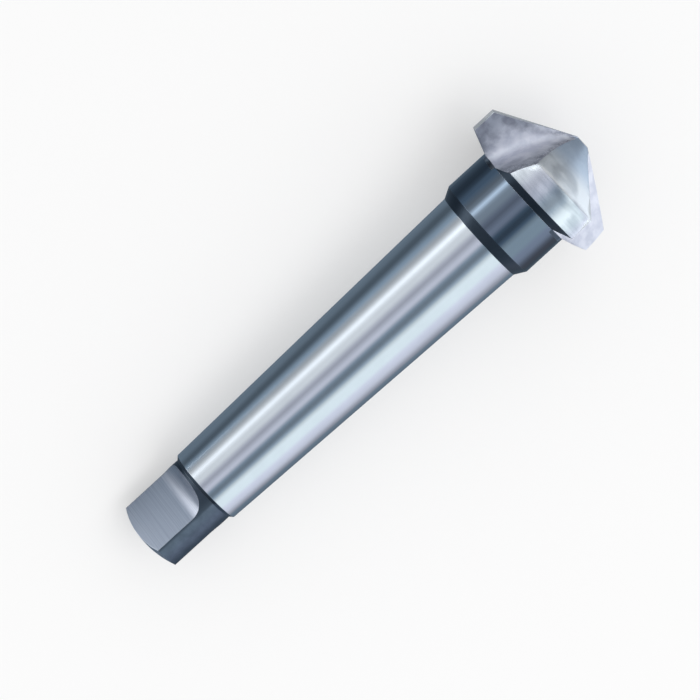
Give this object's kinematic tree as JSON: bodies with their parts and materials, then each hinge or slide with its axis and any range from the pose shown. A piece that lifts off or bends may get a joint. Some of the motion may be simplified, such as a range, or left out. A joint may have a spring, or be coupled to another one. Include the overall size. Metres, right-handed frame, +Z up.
{
  "type": "countersink bit",
  "caption": "Countersink bit with a 120 degree cone, ground flutes, a collar, and a No. 2 Morse taper shank with a flat tang.",
  "frame": {"origin": "on the floor, under the middle of the bounding box of the tool as it lies at rest", "axes": "+X runs along the length of the tool towards its cutting tip, +Z is up, +Y completes a right-handed frame. The tool's own axis rises 4.1 degrees towards the tip, because the head is wider than the tang."},
  "size_m": [0.1044, 0.0298, 0.0284],
  "materials": {
    "tool_steel": "ground, with a blackened collar"
  },
  "bodies": {
    "root": {"countersink": "tool_steel"}
  },
  "joints": []
}
